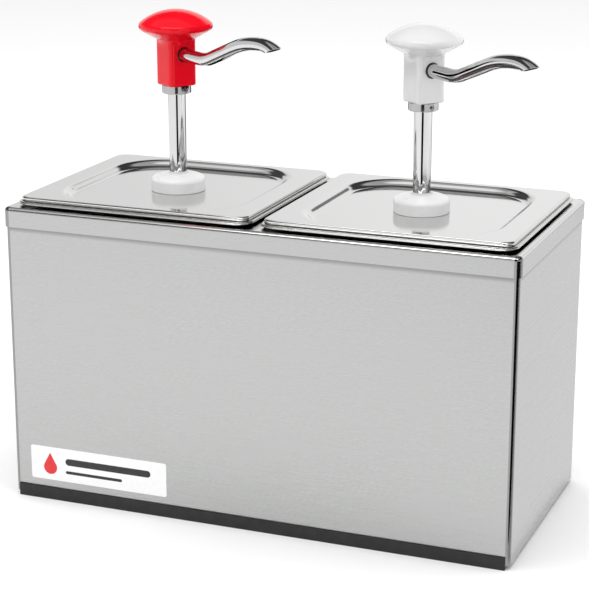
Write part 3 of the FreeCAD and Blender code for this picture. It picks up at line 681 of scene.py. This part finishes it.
def soften(item, width, segments=2, angle=30.0):
    """A small bevel on the hard edges."""
    bevel = item.modifiers.new("soft_edges", "BEVEL")
    bevel.width = width * MM
    bevel.segments = segments
    bevel.limit_method = "ANGLE"
    bevel.angle_limit = math.radians(angle)
    bevel.harden_normals = True


def turned(name, profile, centre, count=96):
    """A turned piece: the profile is a list of (radius, height)."""
    angles = [2 * math.pi * index / count for index in range(count)]
    rings = [circle(centre, radius, height, angles) for radius, height in profile]
    return mesh_piece(name, *loft(rings))


def arc(middle, radius, start, end, steps):
    """Points of an arc in the (radius, height) plane, from one angle to another in degrees."""
    points = []
    for index in range(steps + 1):
        angle = math.radians(start + (end - start) * index / steps)
        points.append(
            (middle[0] + radius * math.cos(angle), middle[1] + radius * math.sin(angle))
        )
    return points


# ---------------------------------------------------------------- pieces


# The lid's and the pan's sizes.  Groups of three are (width, depth, corner radius).
SHEET = 0.8

LID_CORNER = 6.5
LID_SKIRT = 1.3
LID_EDGE_BEND = 1.25
LID_WELL_BEND = 5.0
LID_WELL_TOP = (134.5, 140.5, 36.5)
LID_WELL_FOOT = (126.8, 132.8, 32.6)
LID_FLOOR = ((100.0, 106.0, 30.0), (60.0, 62.0, 24.0))
LID_HOLE = 15.25
LID_HOLE_RINGS = (22.0, LID_HOLE + 0.6, LID_HOLE)
LID_BORDER = 6.0

PAN_NARROWED = 1.4
PAN_CORNER = 12.0
PAN_SKIRT = 1.5
PAN_EDGE_BEND = 0.9
PAN_LIP_BEND = 3.6
PAN_FOOT_BEND = 17.0
PAN_MOUTH = (152.0, 138.0, 37.0)
PAN_TAPER = 4.2
PAN_FLOOR = ((60.0, 50.0, 14.0), (6.0, 5.0, 2.0))
PAN_BORDER = 9.0


def make_lid(side, shiny, border_shade, under):
    """The pressed lid, with soft bends round its border and its sunken well."""
    low, high = box_mm("lid_" + side)
    centre = (low + high) / 2
    width, depth = high.x - low.x, high.y - low.y
    floor = low.z + SHEET
    corners = [
        (width, depth, LID_CORNER, floor + LID_SKIRT, 0.0),
        (width, depth, LID_CORNER, high.z, LID_EDGE_BEND),
        (*LID_WELL_TOP, high.z, LID_WELL_BEND),
        (*LID_WELL_FOOT, floor, LID_WELL_BEND),
    ]
    corners += [(*outline, floor, 0.0) for outline in LID_FLOOR]
    rings = sheet_rings(bent_profile(corners), centre)
    angles = [math.atan2(y - centre.y, x - centre.x) for x, y, _ in rings[-1]]
    for radius in LID_HOLE_RINGS:
        rings.append(circle(centre, radius, floor, angles))
    lid = mesh_piece("pressed_lid_" + side, *loft(rings))
    # The border's inner face is near-black: painted shade in the gap under the lid's border.
    thicken(lid, SHEET, (shiny, border_shade), (shiny, under), LID_BORDER)
    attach(lid, "lid_" + side)
    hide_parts("lid_" + side)


def make_pan(side, shiny, border_shade, satin):
    """The deep drawn pan, with a rolled flange and a rounded lip and foot.

    Its flange is a little narrower in X than in CAD, which widens the dark gap between the pans.
    """
    low, high = box_mm("pan_" + side)
    centre = (low + high) / 2
    width, depth = high.x - low.x - PAN_NARROWED * 2, high.y - low.y
    inset = (high.z - low.z) * math.tan(math.radians(PAN_TAPER))
    foot = [PAN_MOUTH[0] - inset * 2, PAN_MOUTH[1] - inset * 2, PAN_MOUTH[2] - inset]
    floor = low.z + SHEET
    corners = [
        (width, depth, PAN_CORNER, high.z - PAN_SKIRT, 0.0),
        (width, depth, PAN_CORNER, high.z, PAN_EDGE_BEND),
        (*PAN_MOUTH, high.z, PAN_LIP_BEND),
        (*foot, floor, PAN_FOOT_BEND),
    ]
    corners += [(*outline, floor, 0.0) for outline in PAN_FLOOR]
    rings = sheet_rings(bent_profile(corners), centre)
    pan = mesh_piece("drawn_pan_" + side, *loft(rings, close_last=True))
    # The border's inner face is near-black: painted shade in the gap under the pan's flange.
    thicken(pan, SHEET, (shiny, border_shade), (satin, satin), PAN_BORDER)
    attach(pan, "pan_" + side)
    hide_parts("pan_" + side)


def centre_of_pump(side):
    """Where the pump's upright axis stands."""
    low, high = box_mm("cylinder_" + side)
    return (low.x + high.x) / 2, (low.y + high.y) / 2


def turn_of_head(side):
    """The angle of the way the spout points, from +X towards +Y."""
    return math.radians(SPOUT_BEARINGS[side] - 90.0)


def spout_directions(side):
    """The way the spout points, and the level direction across it."""
    turn = turn_of_head(side)
    out = Vector((math.cos(turn), math.sin(turn), 0.0))
    return out, UP.cross(out)


BLOCK_SIDE = 21.0
BLOCK_CORNER = 3.2
BLOCK_RING_STEP = 2.6
HEAD_BORE = 6.05
KNOB_RADIUS = 25.6
KNOB_BLEND = 1.6
NECK_RADIUS = 11.6
SHOULDER_DROP = 20.9
RIM_DROP = 11.2
RIM_ROUND = 3.2
RIM_FROM, RIM_TO = -62.0, 50.5


def smooth_most(first, second, blend):
    """The larger of two lengths, with a rounded change-over."""
    gap = max(blend - abs(first - second), 0.0) / blend
    return max(first, second) + gap * gap * blend / 4


def head_levels(foot, top):
    """Levels of the head from its foot up, and the height above which it is round all over.

    Each level is (height, growth of the square block, radius of the round part).
    """
    # The block's rounded foot and its straight sides.
    levels = [(foot + rise, grow, 0.0) for rise, grow in ((0.0, -0.9), (0.12, -0.45), (0.45, -0.12))]
    levels.append((foot + 0.9, 0.0, 0.0))
    shoulder = top - SHOULDER_DROP
    height = foot + 2.0
    while height < shoulder - 0.6:
        levels.append((height, 0.0, 0.0))
        height += BLOCK_RING_STEP
    # The cone under the knob, its rounded rim and its dome.
    edge = arc((KNOB_RADIUS - RIM_ROUND, top - RIM_DROP), RIM_ROUND, RIM_FROM, RIM_TO, 16)
    cone_radius, cone_top = edge[0]
    for index in range(15):
        share = index / 14
        radius = NECK_RADIUS + (cone_radius - NECK_RADIUS) * share
        levels.append((shoulder + (cone_top - shoulder) * share, 0.0, radius))
    levels += [(height, 0.0, radius) for radius, height in edge[1:]]
    brow_radius, brow_height = edge[-1]
    drop = top - brow_height
    dome = (brow_radius ** 2 + drop ** 2) / (2 * drop)
    for index in range(1, 17):
        radius = max(brow_radius * math.cos(math.radians(90.0 * index / 16)), 0.15)
        levels.append((top - dome + math.sqrt(dome ** 2 - radius ** 2), 0.0, radius))
    return levels, cone_top - 0.8


def make_head(side, material, slot):
    """The moulded head: a square block that runs into a broad domed knob."""
    low, high = box_mm("pump_head_" + side)
    axis = centre_of_pump(side)
    outline = rounded_ring(BLOCK_SIDE, BLOCK_SIDE, BLOCK_CORNER, 10, 6)
    angles = [math.atan2(point.y, point.x) + turn_of_head(side) for point in outline]
    rings = [circle(axis, radius, low.z, angles) for radius in (HEAD_BORE, 8.0)]
    levels, all_round_above = head_levels(low.z, high.z)
    for height, grow, radius in levels:
        ring = []
        for point, angle in zip(outline, angles):
            reach = point.length + grow
            if height > all_round_above:
                reach = radius
            elif radius > 0.0:
                reach = smooth_most(reach, radius, KNOB_BLEND)
            ring += circle(axis, reach, height, [angle])
        rings.append(ring)
    head = mesh_piece("moulded_head_" + side, *loft(rings, close_last=True))
    paint(head, material)
    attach(head, "plunger_" + side)
    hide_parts("pump_head_" + side)


CAP_GAP = 0.02
CAP_INSIDE = 15.0
CAP_FOOT_ROUND = 0.5
CAP_SHOULDER_DROP = 5.4
CAP_SHOULDER_ROUND = 3.4
CAP_HOLE = 6.95
CAP_HOLE_DEPTH = 2.0


def make_cap(side, material):
    """The white nut on the lid, with a rounded shoulder and a low dome."""
    low, high = box_mm("cap_nut_" + side)
    radius = (high.x - low.x) / 2
    base, top = low.z + CAP_GAP, high.z
    shoulder = top - CAP_SHOULDER_DROP
    profile = [(CAP_INSIDE, base), (radius - 0.6, base)]
    profile += arc((radius - CAP_FOOT_ROUND, base + CAP_FOOT_ROUND), CAP_FOOT_ROUND, -90.0, 0.0, 5)
    profile += [(radius, low.z + 0.9), (radius, shoulder - 0.2)]
    profile += arc((radius - CAP_SHOULDER_ROUND, shoulder), CAP_SHOULDER_ROUND, 0.0, 72.0, 14)
    edge_radius, edge_height = profile[-1]
    for index in range(1, 11):
        share = index / 10
        reach = edge_radius + (CAP_HOLE - edge_radius) * share
        rise = (top - edge_height) * math.sin(math.radians(90.0 * share))
        profile.append((reach, edge_height + rise))
    profile.append((CAP_HOLE, top - CAP_HOLE_DEPTH))
    cap = turned("cap_" + side, profile, centre_of_pump(side))
    paint(cap, material)
    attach(cap, "lid_" + side)
    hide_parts("cap_nut_" + side)


SEAL_OUT = 10.5
SEAL_RADIUS = 4.95
SEAL_HALF = 0.36


def make_spout_ring(side, material):
    """The soft seal round the spout's root, just proud of the block's face; its black also paints the
    root's shadow.
    """
    low, high = box_mm("spout_seal_" + side)
    out, over = spout_directions(side)
    middle = Vector((*centre_of_pump(side), (low.z + high.z) / 2)) + out * SEAL_OUT
    rings = []
    for step in range(49):
        angle = 2 * math.pi * step / 48
        away = over * math.cos(angle) + UP * math.sin(angle)
        ring = []
        for index in range(12):
            swing = 2 * math.pi * index / 12
            reach = SEAL_RADIUS + SEAL_HALF * math.cos(swing)
            ring.append(tuple(middle + away * reach + out * (SEAL_HALF * math.sin(swing))))
        rings.append(ring)
    item = mesh_piece("spout_ring_" + side, *loft(rings))
    paint(item, material)
    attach(item, "plunger_" + side)
    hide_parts("spout_seal_" + side)


# The spout's mouth: its middle out from the pump's axis and up from the head's foot, how far its
# plane leans, its size, and how steeply the spout comes down to it.
LIP_REACH = 121.4
LIP_RISE = 38.7
LIP_TILT = 17.8
LIP_HALF_LENGTH = 7.3
LIP_HALF_WIDTH = 4.1
NOSE_SLOPE = 28.0
# How deep each ring of the bore lies behind the lip, and its share of the mouth's size.
BORE_SHAPE = ((-0.04, 1.0), (0.05, 0.88), (0.9, 0.75), (1.3, 0.5), (1.4, 0.1))


def make_spout_mouth(side, material):
    """The bore of the spout, closed a little way in from its slanted lip; its near-black is painted
    shade.
    """
    foot = box_mm("pump_head_" + side)[0].z
    out, over = spout_directions(side)
    tilt, nose = math.radians(LIP_TILT), math.radians(NOSE_SLOPE)
    along = out * math.cos(tilt) + UP * math.sin(tilt)
    ahead = out * math.cos(nose) - UP * math.sin(nose)
    lip = Vector((*centre_of_pump(side), foot + LIP_RISE)) + out * LIP_REACH
    rings = []
    for depth, share in BORE_SHAPE:
        middle = lip - ahead * depth
        ring = []
        for index in range(40):
            angle = 2 * math.pi * index / 40
            reach = along * (math.cos(angle) * LIP_HALF_LENGTH)
            reach += over * (math.sin(angle) * LIP_HALF_WIDTH)
            ring.append(tuple(middle + reach * share))
        rings.append(ring)
    item = mesh_piece("spout_bore_" + side, *loft(rings, close_last=True))
    paint(item, material)
    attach(item, "plunger_" + side)


WIRE_RADIUS = 0.9
SPRING_TURNS = 11
RINGS_PER_TURN = 40
WIRE_SIDES = 10


def make_spring(side, material):
    """The coil spring."""
    low, high = box_mm("return_spring_" + side)
    radius = (high.x - low.x) / 2 - WIRE_RADIUS
    axis = centre_of_pump(side)
    total = SPRING_TURNS * RINGS_PER_TURN
    rings = []
    for index in range(total + 1):
        share = index / total
        angle = 2 * math.pi * SPRING_TURNS * share
        height = low.z + WIRE_RADIUS + (high.z - low.z - 2 * WIRE_RADIUS) * share
        ring = []
        for step in range(WIRE_SIDES):
            swing = 2 * math.pi * step / WIRE_SIDES
            reach = radius + WIRE_RADIUS * math.cos(swing)
            ring += circle(axis, reach, height + WIRE_RADIUS * math.sin(swing), [angle])
        rings.append(ring)
    points, faces = loft(rings, close_last=True)
    faces.append(tuple(reversed(range(WIRE_SIDES))))
    spring = mesh_piece("coil_spring_" + side, points, faces)
    paint(spring, material)
    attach(spring, "lid_" + side)
    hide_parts("return_spring_" + side)
    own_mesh(spring)


def flat_print(name, outline, front, depth, material):
    """A thin printed shape on the front wall: its outline is a list of (x, z)."""
    points = [(x, front, z) for x, z in outline]
    points += [(x, front + depth, z) for x, z in outline]
    count = len(outline)
    faces = [tuple(range(count)), tuple(reversed(range(count, count * 2)))]
    for index in range(count):
        after = (index + 1) % count
        faces.append((after, index, count + index, count + after))
    item = mesh_piece(name, points, faces, smooth=False)
    paint(item, material)
    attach(item, "case")
    return item


def round_bar(left, low, length, height):
    """The outline of a bar with round ends."""
    radius = height / 2
    points = []
    for middle, start in ((left + length - radius, -90.0), (left + radius, 90.0)):
        for index in range(13):
            angle = math.radians(start + 15.0 * index)
            points.append(
                (middle + radius * math.cos(angle), low + radius + radius * math.sin(angle))
            )
    return points


def drop_outline(middle_x, low, radius, height):
    """A drop of sauce: a round foot that narrows to a point."""
    points = []
    centre = low + radius
    for index in range(41):
        angle = math.radians(-215.0 + 250.0 * index / 40)
        points.append((middle_x + radius * math.cos(angle), centre + radius * math.sin(angle)))
    points.append((middle_x, low + height))
    return points


LABEL_CORNER = 1.5
PRINT_PROUD = 0.02
PRINT_DEPTH = 0.1
# The print's places are measured from the label's lower left corner.
DROP_ACROSS, DROP_UP, DROP_RADIUS, DROP_HEIGHT = 15.0, 4.2, 5.2, 16.0
BARS = ((27.0, 12.4, 66.0, 5.0), (27.0, 6.0, 44.0, 2.2))


def make_label(film, red, black):
    """A white label with a plain drop and plain bars, and no lettering."""
    low, high = box_mm("front_label")
    middle = (low + high) / 2
    ring = rounded_ring(high.x - low.x, high.z - low.z, LABEL_CORNER, 8, 2)
    outline = [(middle.x + point.x, middle.z + point.y) for point in ring]
    label = flat_print("label_film", outline, low.y, high.y - low.y, film)
    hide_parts("front_label")
    front = low.y - PRINT_PROUD
    drop = drop_outline(low.x + DROP_ACROSS, low.z + DROP_UP, DROP_RADIUS, DROP_HEIGHT)
    flat_print("label_drop", drop, front, PRINT_DEPTH, red)
    for index, (across, up, length, tall) in enumerate(BARS):
        bar = round_bar(low.x + across, low.z + up, length, tall)
        flat_print("label_bar_%d" % index, bar, front, PRINT_DEPTH, black)


# ---------------------------------------------------------------- the whole

# Each lamp's place, target and size in metres, and its power in watts.
SOFTBOXES = {
    "softbox_top": ((-0.1, -0.2, 2.2), (0.0, 0.08, 0.0), (2.4, 2.4), 25.0),
    "softbox_left": ((-1.9, -1.3, 1.3), (0.0, 0.08, 0.1), (1.2, 1.4), 5.0),
    "softbox_right": ((2.2, 1.2, 0.9), (0.35, 0.3, 0.0), (1.2, 1.0), 9.0),
}
RIM_FOLD = 4.2
CASE_FOLD = 3.0
FOOT_BEVEL = 0.35

make_camera()
make_world()
make_stage()
for name, settings in SOFTBOXES.items():
    make_softbox(name, *settings)

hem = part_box("rim_frame")[0].z
# The rim frame's top faces are painted lighter, a painted sheen, and its corner folds darker, a
# painted dark reflection.
case_steel = brushed_steel(
    "case_steel_satin", (0.475, 0.48, 0.475), 0.28, "xy", 1800.0,
    folds=(*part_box("rim_frame"), RIM_FOLD * MM), painted_top_sheen=1.45, relief=0.008,
)
# The wall is painted darker just below the rim's hem, as shade, and darker on its corner folds, a
# painted dark reflection.
wall_steel = brushed_steel(
    "wall_steel_satin", (0.47, 0.475, 0.47), 0.28, "xy", 1800.0, hem,
    folds=(*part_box("case_shell"), CASE_FOLD * MM), relief=0.008,
)
lid_steel = brushed_steel("lid_steel_buffed", (0.72, 0.72, 0.715), 0.10, "x", 1500.0)
pan_steel = brushed_steel("pan_steel_drawn", (0.68, 0.68, 0.67), 0.15, "z", 900.0)
bowl_steel = brushed_steel("bowl_steel_satin", (0.70, 0.70, 0.69), 0.36, "z", 700.0)
# Near-black steel for the inner face of the lids' and pans' borders: painted shade in the gaps under
# them.
gap_shade_steel = brushed_steel("steel_painted_gap_shade", (0.05, 0.05, 0.05), 0.5, "x", 300.0)
bright_steel = polished_steel("bright_steel", (0.62, 0.62, 0.62), 0.05)
# Near-black: painted shade inside the spouts' bores.
bore_shade_steel = polished_steel("bore_painted_shade", (0.012, 0.012, 0.012), 0.4)
# The portion rings' steel: a rougher turned finish, with a darker tone that is painted shade.
turned_steel_painted_shade = polished_steel("turned_steel_painted_shade", (0.42, 0.42, 0.42), 0.14)
wire_steel = polished_steel("wire_steel", (0.42, 0.42, 0.43), 0.22)
red_plastic = moulded_plastic(
    "red_plastic_gloss", (0.76, 0.002, 0.012), (0.80, 0.003, 0.015), rough=0.13, coat=0.12,
    glow=0.05, glow_colour=(1.0, 0.1, 0.1), specular=0.22,
)
white_gloss = moulded_plastic(
    "white_plastic_gloss", (0.67, 0.67, 0.67), (0.70, 0.70, 0.70), rough=0.2, coat=0.25,
    glow=0.1, glow_colour=(1.0, 0.95, 0.9),
)
white_satin = moulded_plastic(
    "white_plastic_satin", (0.77, 0.77, 0.77), (0.81, 0.81, 0.81), rough=0.34, coat=0.1,
    glow=0.15, glow_colour=(1.0, 0.95, 0.9),
)
black_rubber = rubber("black_rubber_edge")
white_film = label_film("label_white", (0.90, 0.90, 0.90), (0.93, 0.93, 0.93), 0.35)
red_print = label_film("label_red", (0.72, 0.01, 0.015), (0.76, 0.014, 0.02), 0.35)
black_print = label_film("label_black", (0.006, 0.006, 0.006), (0.012, 0.012, 0.012), 0.35)

finishes = {
    "case_steel": case_steel,
    "lid_steel": lid_steel,
    "pan_steel": pan_steel,
    "polished_steel": bright_steel,
    "spring_steel": wire_steel,
    "red_plastic": red_plastic,
    "white_gloss_plastic": white_gloss,
    "white_plastic": white_satin,
    "black_rubber": black_rubber,
    "label_film": white_film,
}
for part in frame["record"]["subparts"]:
    paint(nodes[part["node"]], finishes[part["material_slot"]])
paint(nodes["case_shell"], wall_steel)
# The portion rings take the darker turned steel: partly a rougher finish, partly painted shade.
for side in SIDES:
    paint(nodes["portion_ring_" + side], turned_steel_painted_shade)

soften(nodes["foot_profile_front"], FOOT_BEVEL)
soften(nodes["foot_profile_rear"], FOOT_BEVEL)

heads = {
    "left": (red_plastic, "red_plastic"),
    "right": (white_gloss, "white_gloss_plastic"),
}
for side in SIDES:
    make_pan(side, pan_steel, gap_shade_steel, bowl_steel)
    make_lid(side, lid_steel, gap_shade_steel, bowl_steel)
    make_cap(side, white_satin)
    make_spring(side, wire_steel)
    make_head(side, *heads[side])
    make_spout_ring(side, black_rubber)
    make_spout_mouth(side, bore_shade_steel)
make_label(white_film, red_print, black_print)

scene = bpy.context.scene
scene.view_settings.view_transform = "Standard"
scene.view_settings.look = "None"
